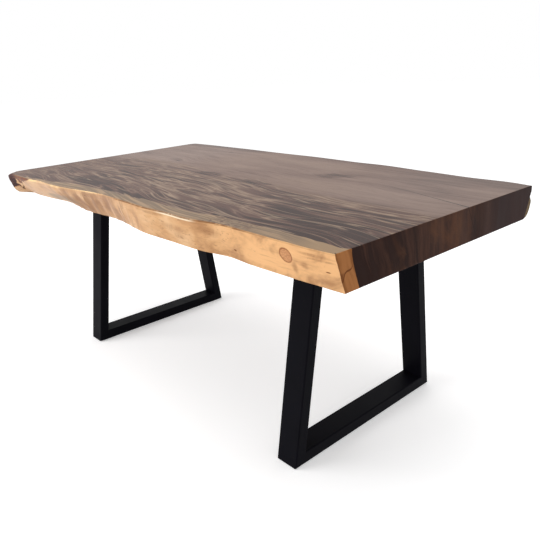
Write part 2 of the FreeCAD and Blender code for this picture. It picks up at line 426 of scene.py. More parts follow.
def buildSlab():
    rows, counts = slabRows()
    columns, last = len(rows[0]), len(rows) - 1
    deselectAll()
    bpy.ops.mesh.primitive_cylinder_add(vertices=columns, radius=1, depth=last, location=(0, 0, last / 2))
    piece = bpy.context.object
    piece.name = "live_edge_slab"
    bpy.ops.object.transform_apply(location=True, rotation=True, scale=True)
    pickEdges(piece, lambda first, second: abs(first.z - second.z) > 1)
    bpy.ops.mesh.subdivide(number_cuts=last - 1)
    bpy.ops.object.mode_set(mode="OBJECT")
    turns = [math.atan2(vertex.co.y, vertex.co.x) / math.tau for vertex in piece.data.vertices]
    place = [round(turn * columns) % columns for turn in turns]
    for vertex, column in zip(piece.data.vertices, place):
        vertex.co = rows[round(vertex.co.z)][column]
    bpy.ops.object.shade_smooth_by_angle(angle=math.radians(slabPlan["smoothAngle"]))
    sawn = sawnColumns(counts)
    kinds = [woodKind(face, [place[v] for v in face.vertices], sawn) for face in piece.data.polygons]
    return piece, kinds


slab, woodKinds = buildSlab()
print("slab shaped", len(slab.data.polygons), "faces")


# helpers for the materials

class Signal:
    # a node's output, which can be added, multiplied and so on as a number is
    def __init__(self, socket):
        self.socket = socket
        self.tree = socket.id_data

    def __add__(self, other):
        return calc("ADD", self, other)

    def __sub__(self, other):
        return calc("SUBTRACT", self, other)

    def __rsub__(self, other):
        return calc("SUBTRACT", other, self)

    def __mul__(self, other):
        return calc("MULTIPLY", self, other)

    def __truediv__(self, other):
        return calc("DIVIDE", self, other)

    def __pow__(self, other):
        return calc("POWER", self, other)

    def __abs__(self):
        return calc("ABSOLUTE", self)

    __radd__ = __add__
    __rmul__ = __mul__


class Patterns:
    # what the functions of one material share, each under its own name
    def __init__(self, **signals):
        for name, signal in signals.items():
            setattr(self, name, signal)


def fill(node, inputs):
    for key, value in dict(inputs).items():
        if isinstance(value, Signal):
            value.tree.links.new(value.socket, node.inputs[key])
        else:
            node.inputs[key].default_value = value


def addNode(tree, kind, inputs=(), **settings):
    node = tree.nodes.new("ShaderNode" + kind)
    for key, value in settings.items():
        setattr(node, key, value)
    fill(node, inputs)
    return node


def calc(operation, *values):
    tree = next(value.tree for value in values if isinstance(value, Signal))
    return Signal(addNode(tree, "Math", enumerate(values), operation=operation).outputs[0])


def startMaterial(name):
    material = bpy.data.materials.new(name)
    material.use_nodes = True
    coords = Signal(addNode(material.node_tree, "TexCoord").outputs["Object"])
    return material, material.node_tree.nodes["Principled BSDF"], coords


def joined(x, y, z):
    return Signal(addNode(x.tree, "CombineXYZ", {0: x, 1: y, 2: z}).outputs[0])


def stretchedNoise(coords, scale, detail, roughness, warp=0.0, offset=(0, 0, 0)):
    mapping = addNode(coords.tree, "Mapping", {"Vector": coords, "Scale": scale, "Location": offset})
    shape = {"Scale": 1.0, "Detail": detail, "Roughness": roughness, "Distortion": warp}
    pattern = addNode(coords.tree, "TexNoise", {"Vector": Signal(mapping.outputs[0]), **shape})
    return Signal(pattern.outputs[0])


def noises(coords, table):
    return {name: stretchedNoise(coords, *values) for name, values in table.items()}


def fade(value, low, high, start=0.0, end=1.0):
    # goes smoothly from start to end while the value goes from low to high
    inputs = {"Value": value, "From Min": low, "From Max": high, "To Min": start, "To Max": end}
    return Signal(addNode(value.tree, "MapRange", inputs, interpolation_type="SMOOTHSTEP").outputs[0])


def within(value, span):
    # 0 up to the span's start and from its end on, 1 in its middle
    start, full, ease, end = span
    return fade(value, start, full) * fade(value, end, ease)


def swing(pattern, amount, middle=0.5):
    # a pattern as a push to either side of nothing
    return calc("MULTIPLY_ADD", pattern, amount, -amount * middle)


def oval(x, y, place, soft, ragged=0.0):
    # 1 in an oval, 0 outside it
    middleX, middleY, halfLength, halfWidth = place
    along, across = (x - middleX) / halfLength, (y - middleY) / halfWidth
    away = calc("SQRT", along * along + across * across) + ragged
    return fade(away, 1 + soft, 1 - soft)


def curveOf(value, points):
    node = addNode(value.tree, "FloatCurve", {"Value": value})
    line = node.mapping.curves[0]
    line.points[0].location = points[0]
    line.points[1].location = points[-1]
    for place in points[1:-1]:
        line.points.new(*place)
    node.mapping.update()
    return Signal(node.outputs[0])


def ramp(value, stops):
    node = addNode(value.tree, "ValToRGB", {0: value})
    elements = node.color_ramp.elements
    while len(elements) < len(stops):
        elements.new(0.5)
    for element, (place, colour) in zip(elements, stops):
        element.position = place
        element.color = (*colour[:3], 1)
    return Signal(node.outputs[0])


def toned(value, plan):
    # the plan's dark, middle and light colours
    return ramp(value, [(place, plan[name]) for place, name in plan["tones"]])


def blendColours(amount, first, second, how="MIX"):
    node = addNode(amount.tree, "Mix", data_type="RGBA", blend_type=how)
    fill(node, {0: amount, 6: first, 7: second})
    return Signal(node.outputs[2])


def layered(colour, plan, layers):
    # lays colours over each other in turn, each a name in the plan or a pattern of its own
    for amount, over in layers:
        colour = blendColours(amount, colour, plan[over] if isinstance(over, str) else over)
    return colour


def bump(height, strength, distance, below=None):
    inputs = {"Height": height, "Strength": strength, "Distance": distance}
    if below is not None:
        inputs["Normal"] = below
    return Signal(addNode(height.tree, "Bump", inputs).outputs[0])


def lightOf(value):
    # a screen's 0 to 255 as an amount of light
    share = value / 255
    return ((share + 0.055) / 1.055) ** 2.4 if share > 0.04 else share / 12.92


def rgb(*values):
    return (*(lightOf(value) for value in values), 1)


# the wood's border between heart and sap

sapBand = {
    "outer": -0.532,        # where across the slab the line's 0 stands
    "width": 0.12,          # and how far in from there its 1 stands
    "length": 1.9,
    "undercut": 0.75,       # how the band widens with the depth below the top
    "undercutPower": 1.4,
    "line": (
        (0.0, 0.0), (0.17, 0.09), (0.22, 0.22), (0.29, 0.46), (0.37, 0.62), (0.5, 0.67), (0.62, 0.69),
        (0.74, 0.75), (0.83, 0.83), (0.90, 0.78), (0.95, 0.78), (1.0, 0.85),
    ),
}


def woodCoords(coords):
    return [Signal(output) for output in addNode(coords.tree, "SeparateXYZ", {0: coords}).outputs]


def inSapwood(x, y, depth, wobble, soft):
    # 1 in the sapwood along the front, 0 in the heartwood
    border = curveOf(x / sapBand["length"] + 0.5, sapBand["line"]) * sapBand["width"] + sapBand["outer"]
    border += calc("MAXIMUM", depth, 0.0) ** sapBand["undercutPower"] * sapBand["undercut"] + wobble
    return fade(border - y, -soft, soft)


# the planed faces: dark figured heartwood under lacquer, with a band of sapwood along the front, painted
# lighter towards the right end as a reflection

topPlan = {
    "dark": rgb(45, 24, 17),
    "mid": rgb(82, 56, 46),
    "light": rgb(126, 104, 86),
    "line": rgb(140, 118, 98),
    "even": rgb(124, 102, 91),
    "pore": rgb(165, 150, 142),
    "sapLight": rgb(143, 117, 89),
    "sapDark": rgb(108, 89, 70),
    # painted reflection on the sapwood towards the right end
    "sapPale": rgb(158, 128, 92),
    "check": rgb(26, 18, 16),
    "tones": ((0.16, "dark"), (0.5, "mid"), (0.86, "light")),
    "lacquer": 0.375,
    "lacquerRoughness": 0.24,
    "lacquerIor": 1.5,
    "bump": (0.3, 0.0004),
    "bend": 0.20,           # how far the figure wanders across the slab
    "drift": 0.10,          # and how far it drifts across as it runs along it
    "middleTone": 0.52,
    "push": {"broad": 0.75, "streaks": 0.40, "dashes": 0.78},       # of each pattern to either side of it
    "zoneWobble": 0.35,     # of the border between the strongly figured wood and the even
    "broadSoft": 0.9,
    "darkSoft": 0.22,
    "darkRagged": {"dashes": 2.2, "streaks": 1.4},
    "darkBend": 0.25,
    "sapPush": 0.5,
    "sapWobble": {"wobble": 0.022, "dashes": 0.060},
    "sapSoft": 0.0015,
    # each goes smoothly from the first value to the second, and gives 0 to 1 or what the last two say
    "fades": {
        # along the slab
        "figured": (-0.85, -0.35, 0.45, 1.0),
        "frontZoneShift": (0.0, 0.5, 0, 0.05),
        "backLine": (0.1, 0.95, 0.43, 0.27),
        "palerLeft": (-0.2, -0.6, 0, 0.15),
        "palerRight": (0.35, 0.75, 0, 0.10),
        # where the painted reflection on the sapwood comes in
        "sapPale": (0.76, 0.88, 0, 0.5),
        "checkStart": (0.58, 0.62),
        "checkDarker": (0.60, 0.90, 0.25, 0.95),
        # across it
        "frontZone": (0.07, -0.06),
        "backDarker": (-0.04, 0.06, 0, 0.13),
        "check": (0.0032, 0.0012),
        # by pattern
        "even": (0.25, 0.62, 0, 0.57),
        "ribbons": (0.034, 0.006),
        "ribbonsBroken": (0.36, 0.60, 0.30, 0.70),
        "pores": (0.5, 0.72, 0, 0.5),
        "streaky": (0.40, 0.62),
        "specks": (0.50, 0.57, 0, 0.75),
        "roughness": (0.3, 0.7, 0.42, 0.56),
    },
    # scale, detail, roughness, warp and offset of each noise, first those that lie still
    "still": {
        "bend": ((1.3, 2.6, 1.5), 2, 0.5),
        "wobble": ((7, 3, 5), 3, 0.6),
        "specks": ((70, 130, 60), 3, 0.6),
    },
    "grain": {
        "broad": ((1.6, 9, 2), 3, 0.55, 0.5),
        "dashes": ((3.6, 27, 3), 1.9, 0.5, 0.28, (3.1, 1.7, 0.4)),
        "streaks": ((3.6, 90, 4), 4, 0.62, 0.3),
        "ribbons": ((2.2, 28, 3), 1.6, 0.5, 0.25, (5.3, 0.9, 0.2)),
        "pores": ((22, 520, 60), 3, 0.6),
    },
    # the tone that each height of the dashes gives, and their middle
    "dashFigure": ((0.36, 0.46), (0.44, 0.56), (0.485, 0.84), (0.51, 0.62), (0.55, 0.34), (0.66, 0.14)),
    "dashMiddle": 0.56,
    "speckled": (0.45, 0.50, 0.62, 0.68),   # where along the sapwood specks start, are full, ease off and end
    # place, half lengths and push of the broad light and dark parts
    "broadTones": (
        (0.22, -0.035, 0.68, 0.085, 0.15), (-0.40, -0.285, 0.19, 0.050, 0.16),
        (-0.62, -0.20, 0.09, 0.035, 0.10), (0.84, -0.32, 0.26, 0.11, -0.18),
        (0.20, -0.410, 0.70, 0.035, -0.16), (-0.62, -0.475, 0.14, 0.035, -0.08),
        (-0.90, 0.12, 0.16, 0.10, -0.06), (0.90, 0.11, 0.09, 0.035, 0.14), (0.90, -0.115, 0.10, 0.035, 0.16),
        (-0.20, 0.12, 0.17, 0.05, 0.10), (-0.24, 0.45, 0.13, 0.05, 0.15),
    ),
    # place, half lengths and strength of the dark patches in the figure
    "darkFigure": (
        (0.345, 0.205, 0.074, 0.034, 0.18), (0.190, -0.050, 0.070, 0.034, 0.27),
        (-0.080, -0.032, 0.080, 0.026, 0.25), (-0.350, -0.385, 0.130, 0.048, 0.22),
        (0.745, -0.330, 0.070, 0.040, 0.19), (0.860, -0.350, 0.090, 0.030, 0.20),
        (-0.500, -0.120, 0.130, 0.026, 0.15), (0.300, -0.240, 0.090, 0.024, 0.14),
        (0.560, -0.170, 0.120, 0.020, 0.18), (0.880, -0.235, 0.100, 0.018, 0.16),
        (-0.640, -0.330, 0.090, 0.030, 0.12), (-0.485, 0.095, 0.018, 0.006, 0.28),
        (-0.525, 0.110, 0.050, 0.018, 0.10), (-0.470, 0.405, 0.022, 0.010, 0.14),
        (-0.710, 0.015, 0.040, 0.012, 0.12),
    ),
    "checkLine": (-0.346, 0.3777),      # slope and place of the long check near the right end
}


def heartTone(top, figured):
    # from the darkest heartwood to the lightest
    push, fades = topPlan["push"], topPlan["fades"]
    figure = ramp(top.dashes, [(place, (value, value, value)) for place, value in topPlan["dashFigure"]])
    tone = topPlan["middleTone"] + swing(top.broad, push["broad"]) + swing(top.streaks, push["streaks"])
    tone += figured * swing(figure, push["dashes"], topPlan["dashMiddle"])
    tone -= fade(top.y - fade(top.x, *fades["backLine"]), *fades["backDarker"])
    for *place, much in topPlan["broadTones"]:
        tone += oval(top.x, top.y, place, topPlan["broadSoft"]) * much
    push = topPlan["darkRagged"]
    ragged = swing(top.dashes, push["dashes"]) + swing(top.streaks, push["streaks"])
    bentY = top.y + top.bend * topPlan["darkBend"]
    for *place, much in topPlan["darkFigure"]:
        tone -= oval(top.x, bentY, place, topPlan["darkSoft"], ragged) * much
    return tone


def heartwood(top):
    # strongly figured in front, more even at the back
    fades = topPlan["fades"]
    inward = top.y + fade(top.x, *fades["frontZoneShift"])
    frontZone = fade(inward - swing(top.broad, topPlan["zoneWobble"]), *fades["frontZone"])
    backZone = 1.0 - frontZone
    figured = frontZone * fade(top.x, *fades["figured"])
    tone = heartTone(top, figured)
    paler = fade(top.x, *fades["palerLeft"]) + fade(top.x, *fades["palerRight"])
    ribbons = fade(abs(top.ribbons - 0.5), *fades["ribbons"]) * fade(top.streaks, *fades["ribbonsBroken"])
    wood = layered(toned(tone, topPlan), topPlan, [
        (backZone * fade(tone, *fades["even"]), "even"),
        (backZone * paler, "pore"),
        (ribbons * figured, "line"),
    ])
    return blendColours(fade(top.pores, *fades["pores"]), wood, topPlan["pore"], "MULTIPLY")


def topSapwood(top):
    fades = topPlan["fades"]
    streaky = top.streaks + swing(top.broad, topPlan["sapPush"])
    return layered(topPlan["sapDark"], topPlan, [
        (fade(streaky, *fades["streaky"]), "sapLight"),
        # painted reflection, paler towards the right end
        (fade(top.x, *fades["sapPale"]), "sapPale"),
        (fade(top.specks, *fades["specks"]) * within(top.x, topPlan["speckled"]), "mid"),
    ])


def faceWood():
    material, shader, coords = startMaterial("lacqueredHeartwood")
    x, y, z = woodCoords(coords)
    still = noises(coords, topPlan["still"])
    still["bend"] = swing(still["bend"], topPlan["bend"])
    grain = joined(x, y + x * topPlan["drift"] + still["bend"], z)
    top = Patterns(x=x, y=y, **still, **noises(grain, topPlan["grain"]))
    push, fades = topPlan["sapWobble"], topPlan["fades"]
    wobble = swing(top.wobble, push["wobble"]) + swing(top.dashes, push["dashes"])
    slope, start = topPlan["checkLine"]
    check = fade(abs(y - (x * slope + start)), *fades["check"])
    check *= fade(x, *fades["checkStart"]) * fade(x, *fades["checkDarker"])
    fill(shader, {
        "Base Color": layered(heartwood(top), topPlan, [
            (inSapwood(x, y, slabHigh.z - z, wobble, topPlan["sapSoft"]), topSapwood(top)),
            (check, "check"),
        ]),
        "Roughness": fade(top.streaks, *fades["roughness"]),
        "Normal": bump(top.pores, *topPlan["bump"]),
        "Specular IOR Level": 0.0,
        "Coat Weight": topPlan["lacquer"],
        "Coat Roughness": topPlan["lacquerRoughness"],
        "Coat IOR": topPlan["lacquerIor"],
    })
    return material


# the live edges: peeled sapwood, fluted and stained, with bark left in the front left corner, painted
# highlights along the crest and painted shade low down

edgePlan = {
    "deep": rgb(184, 136, 94),
    "mid": rgb(212, 164, 117),
    "pale": rgb(226, 184, 140),
    # painted highlight, where light catches the rounded crest
    "bright": rgb(250, 214, 158),
    "warm": rgb(240, 186, 131),
    "weathered": rgb(212, 196, 184),
    "stain": rgb(158, 112, 76),
    "shade": rgb(138, 116, 92),
    # brown of the flutes and strokes, also the colour of the painted shade low on the edge
    "flute": rgb(152, 108, 74),
    "inbark": rgb(112, 66, 50),
    "burnt": rgb(70, 54, 56),
    "char": rgb(98, 68, 62),
    "knotRing": rgb(142, 88, 54),
    "knotCore": rgb(208, 152, 106),
    "knotRay": rgb(178, 122, 84),
    "hole": rgb(122, 74, 44),
    "crack": rgb(70, 42, 34),
    "rim": rgb(134, 94, 60),
    # painted glint on the crest
    "white": rgb(255, 238, 208),
    "tones": ((0.34, "deep"), (0.49, "mid"), (0.66, "pale")),
    "specular": 0.05,
    "rippleBump": (0.4, 0.0025),
    "grainBump": (0.35, 0.0010),
    # each goes smoothly from the first value to the second, and gives 0 to 1 or what the last two say
    "fades": {
        # along the edge
        "warm": (0.40, 0.70, 0, 0.9),
        "weatheredRight": (0.25, -0.05, 0, 0.12),
        "weatheredLeft": (-0.36, -0.50, 0, 0.09),
        # where the painted crest highlight lies lower, and where it grows fainter
        "crestLower": (-0.40, -0.20, -0.0050, 0.0008),
        "crestPaler": (0.02, -0.10, 0.2, 1.0),
        "rimStart": (-0.04, 0.06),
        "rimPaler": (0.60, 0.74, 1, 0.4),
        "barkEnd": (-0.59, -0.62),
        "charEnd": (-0.790, -0.800),
        # down it
        "shade": (0.026, 0.010, 0, 0.75),
        # painted shade, darker low on the undercut edge
        "brownLow": (0.018, 0.055, 0, 0.34),
        # the painted crest highlight, the painted glint and the rim line
        "crest": (0.0055, 0.0010),
        "glint": (0.0095, 0.0070, 0, 0.8),
        "rim": (0.0047, 0.0028),
        "barkFoot": (-0.003, 0.003, 0, 0.92),
        "charFoot": (0.0650, 0.0615, 0, 0.92),
        # by pattern
        "warmPatches": (0.33, 0.56),
        "flutes": (0.45, 0.62, 0, 0.66),
        "ripples": (0.56, 0.66, 0, 0.5),
        "strokes": (0.60, 0.72, 0, 0.65),
        "stains": (0.3, 0.6, 0.3, 1.3),
        "browning": (0.56, 0.68, 0, 0.55),
        "grain": (0.52, 0.76, 0, 0.32),
        "specks": (0.68, 0.78, 0, 0.45),
        "crestPatches": (0.40, 0.58, 0.25, 0.85),
        "rimPatches": (0.35, 0.55, 0.55, 0.95),
        "burnt": (0.50, 0.72),
        "sooty": (0.42, 0.66),
        "knotRing": (0.35, 0.65),
        "knotRays": (0.42, 0.62),
        "roughness": (0.3, 0.7, 0.42, 0.56),
    },
    "shadeLine": (0.10, 0.025, 0.03),       # lean, depth and raggedness of the shaded strip
    "stainSoft": 0.6,
    "holeSoft": 0.4,
    "knotSizes": (1.04, 0.88),      # of the ring and of the middle, as shares of the knot's size
    "knotSoft": 0.10,
    "knotRagged": 0.12,
    "slant": 0.5,           # how far the marks lean towards the left as they go down
    # scale, detail, roughness, warp and offset of each noise, first those that slant
    "slanting": {
        "blotch": ((8, 8, 12), 4, 0.6, 0.5),
        "ripples": ((34, 20, 9), 4, 0.6, 0.3),
        "flutes": ((26, 4, 5), 3, 0.6, 0.4, (2.3, 0, 0)),
        "strokes": ((105, 40, 34), 3, 0.6, 0.8, (0.7, 0, 0)),
    },
    "straight": {
        "grain": ((14, 50, 150), 4, 0.62),
        "specks": ((160, 160, 160), 2, 0.5),
        "browning": ((45, 20, 120), 4, 0.65, 0.4),
    },
    "rays": ((60, 1, 300), 3, 0.6, 1.2),
    # where along the edge each starts, is full, eases off and ends
    "fluted": (-0.56, -0.32, 0.02, 0.18),
    "stroked": (-0.62, -0.45, 0.05, 0.20),
    "shaded": (-0.66, -0.56, -0.34, -0.24),
    "browned": (0.10, 0.25, 0.55, 0.68),
    # painted shade low on the edge
    "brownLow": (-0.54, -0.42, -0.14, -0.04),
    "glinting": (0.25, 0.32, 0.43, 0.47),
    # place along and below the top, half length, half height, strength and lean
    "stains": (
        (-0.255, 0.054, 0.026, 0.040, 0.85, 0.0), (-0.172, 0.055, 0.013, 0.040, 0.80, 0.60),
        (-0.155, 0.016, 0.050, 0.010, 0.50, 0.0), (-0.075, 0.048, 0.011, 0.034, 0.60, 0.75),
        (0.006, 0.064, 0.014, 0.036, 0.70, 0.55), (-0.340, 0.040, 0.030, 0.024, 0.40, 0.3),
        (0.345, 0.044, 0.060, 0.010, 0.40, 0.0), (0.357, 0.066, 0.028, 0.010, 0.32, 0.0),
        (0.120, 0.070, 0.010, 0.030, 0.40, 0.55), (0.500, 0.029, 0.034, 0.013, 0.50, 0.0),
        (0.807, 0.064, 0.008, 0.016, 0.45, 0.1), (0.842, 0.047, 0.010, 0.008, 0.35, 0.0),
        (0.880, 0.016, 0.040, 0.004, 0.60, 0.0), (0.895, 0.025, 0.034, 0.003, 0.50, 0.0),
        (0.870, 0.082, 0.040, 0.008, 0.12, 0.0), (0.62, 0.092, 0.10, 0.008, 0.35, 0.0),
        (0.25, 0.012, 0.05, 0.005, 0.4, 0.0), (0.742, 0.033, 0.010, 0.008, 0.25, 0.0),
        # the first on the next line is painted shade low on the edge, not a stain
        (-0.290, 0.078, 0.060, 0.020, 0.50, 0.0), (0.605, 0.070, 0.018, 0.016, 0.30, 0.0),
    ),
    # place along and below the top, half length, half height and strength
    "holes": (
        (0.5865, 0.068, 0.0052, 0.0030, 0.9), (0.9090, 0.0515, 0.0062, 0.0016, 1.0),
        (0.545, 0.032, 0.0020, 0.0014, 0.5), (0.556, 0.025, 0.0018, 0.0014, 0.5),
        (0.572, 0.036, 0.0020, 0.0014, 0.5), (0.580, 0.023, 0.0018, 0.0012, 0.5),
        (0.563, 0.041, 0.0016, 0.0012, 0.5), (-0.19, 0.018, 0.0024, 0.0016, 0.8),
        (-0.135, 0.057, 0.006, 0.0012, 0.7), (0.02, 0.038, 0.005, 0.001, 0.5),
    ),
    # how far down the bark comes, as a share of its depth, by share of its length
    "bark": (
        (0.0, 0.70), (0.17, 0.65), (0.27, 0.55), (0.33, 0.44), (0.43, 0.42), (0.48, 0.40), (0.53, 0.33),
        (0.63, 0.24), (0.70, 0.22), (0.80, 0.16), (0.90, 0.10), (1.0, 0.04),
    ),
    "barkStart": -0.9,
    "barkLength": 0.3,
    "barkDepth": 0.1,
    "barkRagged": {"ripples": 0.014, "grain": 0.012},
    "barkTrim": 0.03,       # taken off the line of "bark"
    # depth, lean and raggedness of the charred tip's end, and place, lean and raggedness of its foot
    "charEndLine": (0.0217, 0.95, 0.020),
    "charFootLine": (-0.8545, 0.44, 0.012),
    "sootPush": 0.7,
    "markCover": 0.85,
    # start and end, along and below the top, half width and colour of the splits and the strips of clean wood
    "marks": (
        (-0.786, 0.021, -0.824, 0.048, 0.0064, "pale"), (-0.792, 0.049, -0.826, 0.065, 0.0022, "crack"),
        (-0.826, 0.065, -0.834, 0.075, 0.0030, "crack"), (-0.827, 0.052, -0.832, 0.063, 0.0022, "crack"),
        (-0.722, 0.012, -0.745, 0.025, 0.0030, "deep"),
    ),
}


def fluteLayers(edge):
    fades = edgePlan["fades"]
    fluted = within(edge.x, edgePlan["fluted"]) * edge.front
    stroked = within(edge.x, edgePlan["stroked"]) * edge.front
    lean, shadeDepth, push = edgePlan["shadeLine"]
    fromShade = abs(edge.depth + edge.x * lean - shadeDepth) + swing(edge.ripples, push)
    return [
        (fade(edge.x, *fades["warm"]) * fade(edge.blotch, *fades["warmPatches"]) * edge.front, "warm"),
        (fade(edge.flutes, *fades["flutes"]) * fluted, "flute"),
        (fade(edge.ripples, *fades["ripples"]) * fluted, "stain"),
        (fade(edge.strokes, *fades["strokes"]) * stroked, "flute"),
        (fade(fromShade, *fades["shade"]) * within(edge.x, edgePlan["shaded"]) * edge.front, "shade"),
    ]


def stainAndShadeLayers(edge):
    # stains and weathering, with painted shade low on the edge among them
    fades = edgePlan["fades"]
    layers = []
    for *place, much, lean in edgePlan["stains"]:
        spot = oval(edge.x + (edge.depth - place[1]) * lean, edge.depth, place, edgePlan["stainSoft"])
        layers.append((spot * fade(edge.ripples, *fades["stains"]) * edge.front * much, "stain"))
    brown = fade(edge.browning, *fades["browning"]) * within(edge.x, edgePlan["browned"])
    weathered = fade(edge.x, *fades["weatheredRight"]) + fade(edge.x, *fades["weatheredLeft"])
    # painted shade: darker low on the edge, where it faces down
    brownLow = fade(edge.depth, *fades["brownLow"]) * within(edge.x, edgePlan["brownLow"])
    return layers + [
        (fade(edge.grain, *fades["grain"]), "stain"),
        (fade(edge.specks, *fades["specks"]), "stain"),
        (brown * edge.front, "stain"),
        (weathered * edge.front, "weathered"),
        (brownLow * edge.front, "flute"),
    ]


def rimLayers(edge):
    # painted highlights where the edge meets the top, a broad one along the crest and a thin glint, and a
    # dark brown line at the rim
    fades = edgePlan["fades"]
    x, depth = edge.x, edge.depth
    crest = fade(depth + fade(x, *fades["crestLower"]), *fades["crest"])
    crest *= fade(edge.blotch, *fades["crestPatches"]) * fade(x, *fades["crestPaler"])
    glint = fade(depth, *fades["glint"]) * within(x, edgePlan["glinting"])
    rim = fade(depth, *fades["rim"]) * fade(x, *fades["rimStart"]) * fade(x, *fades["rimPaler"])
    rim *= fade(edge.ripples, *fades["rimPatches"])
    return [(crest * edge.front, "bright"), (glint * edge.front, "white"), (rim * edge.front, "rim")]


def markAmount(edge, start, end, halfWidth):
    # 1 on a straight mark, 0 off it
    length = math.dist(start, end)
    stepAlong, stepDown = ((last - first) / length for first, last in zip(start, end))
    fromX, fromDepth = edge.x - start[0], edge.depth - start[1]
    along = fromX * stepAlong + fromDepth * stepDown
    aside = abs(fromX * stepDown - fromDepth * stepAlong)
    inLength = within(along, (-0.004, 0.003, length - 0.003, length + 0.004))
    return fade(aside, 1.2 * halfWidth, 0.6 * halfWidth) * inLength


def barkLayers(edge):
    # bark left in the broken front corner, its charred tip, and the splits in it
    fades = edgePlan["fades"]
    reach = curveOf((edge.x - edgePlan["barkStart"]) / edgePlan["barkLength"], edgePlan["bark"])
    reach = (reach - edgePlan["barkTrim"]) * edgePlan["barkDepth"]
    push = edgePlan["barkRagged"]
    reach += swing(edge.ripples, push["ripples"]) + swing(edge.grain, push["grain"])
    bark = fade(reach - edge.depth, *fades["barkFoot"])
    bark *= fade(edge.x, *fades["barkEnd"])
    barkTone = blendColours(fade(edge.ripples, *fades["burnt"]), edgePlan["inbark"], edgePlan["burnt"])
    endDepth, endLean, endPush = edgePlan["charEndLine"]
    footX, footLean, footPush = edgePlan["charFootLine"]
    toEnd = edge.x + (edge.depth - endDepth) * endLean + swing(edge.ripples, endPush)
    toFoot = edge.depth + (edge.x - footX) * footLean + swing(edge.ripples, footPush)
    tip = fade(toEnd, *fades["charEnd"]) * fade(toFoot, *fades["charFoot"])
    sooty = fade(edge.ripples + swing(edge.grain, edgePlan["sootPush"]), *fades["sooty"])
    charred = blendColours(sooty, edgePlan["burnt"], edgePlan["char"])
    layers = [(bark * edge.front, barkTone), (tip * edge.front, charred)]
    for *places, halfWidth, name in edgePlan["marks"]:
        mark = markAmount(edge, places[:2], places[2:], halfWidth)
        layers.append((mark * edge.front * edgePlan["markCover"], name))
    return layers


def knotLayers(edge):
    # the ring and the rayed middle of the knot
    fades = edgePlan["fades"]
    knotX, knotDown, halfLength, halfHeight = barkPlan["knot"]
    ragged = swing(edge.specks, edgePlan["knotRagged"])
    places = [(knotX, knotDown, size * halfLength, size * halfHeight) for size in edgePlan["knotSizes"]]
    around, core = (oval(edge.x, edge.depth, place, edgePlan["knotSoft"], ragged) for place in places)
    ring = blendColours(fade(edge.ripples, *fades["knotRing"]), edgePlan["knotRing"], edgePlan["knotRay"])
    middlePlace = (-knotX, 0, knotDown - slabHigh.z)
    centred = addNode(edge.x.tree, "Mapping", {"Vector": edge.coords, "Location": middlePlace})
    rays = fade(stretchedNoise(Signal(centred.outputs[0]), *edgePlan["rays"]), *fades["knotRays"])
    middle = blendColours(rays, edgePlan["knotCore"], edgePlan["knotRay"])
    return [(around * edge.front, ring), (core * edge.front, middle)]


def holeLayers(edge):
    layers = []
    for *place, much in edgePlan["holes"]:
        layers.append((oval(edge.x, edge.depth, place, edgePlan["holeSoft"]) * edge.front * much, "hole"))
    return layers


def edgeWood():
    material, shader, coords = startMaterial("peeledSapwood")
    x, y, z = woodCoords(coords)
    slanting = noises(joined(x - z * edgePlan["slant"], y, z), edgePlan["slanting"])
    straight = noises(coords, edgePlan["straight"])
    front = fade(y, 0.01, -0.01)        # 1 on the front edge, 0 on the back one
    edge = Patterns(coords=coords, x=x, depth=slabHigh.z - z, front=front, **slanting, **straight)
    wood = toned(edge.blotch, edgePlan)
    for makeLayers in (fluteLayers, stainAndShadeLayers, rimLayers, barkLayers, knotLayers, holeLayers):
        wood = layered(wood, edgePlan, makeLayers(edge))
    fill(shader, {
        "Base Color": wood,
        "Roughness": fade(edge.blotch, *edgePlan["fades"]["roughness"]),
        "Normal": bump(edge.ripples, *edgePlan["rippleBump"], bump(edge.grain, *edgePlan["grainBump"])),
        "Specular IOR Level": edgePlan["specular"],
    })
    return material
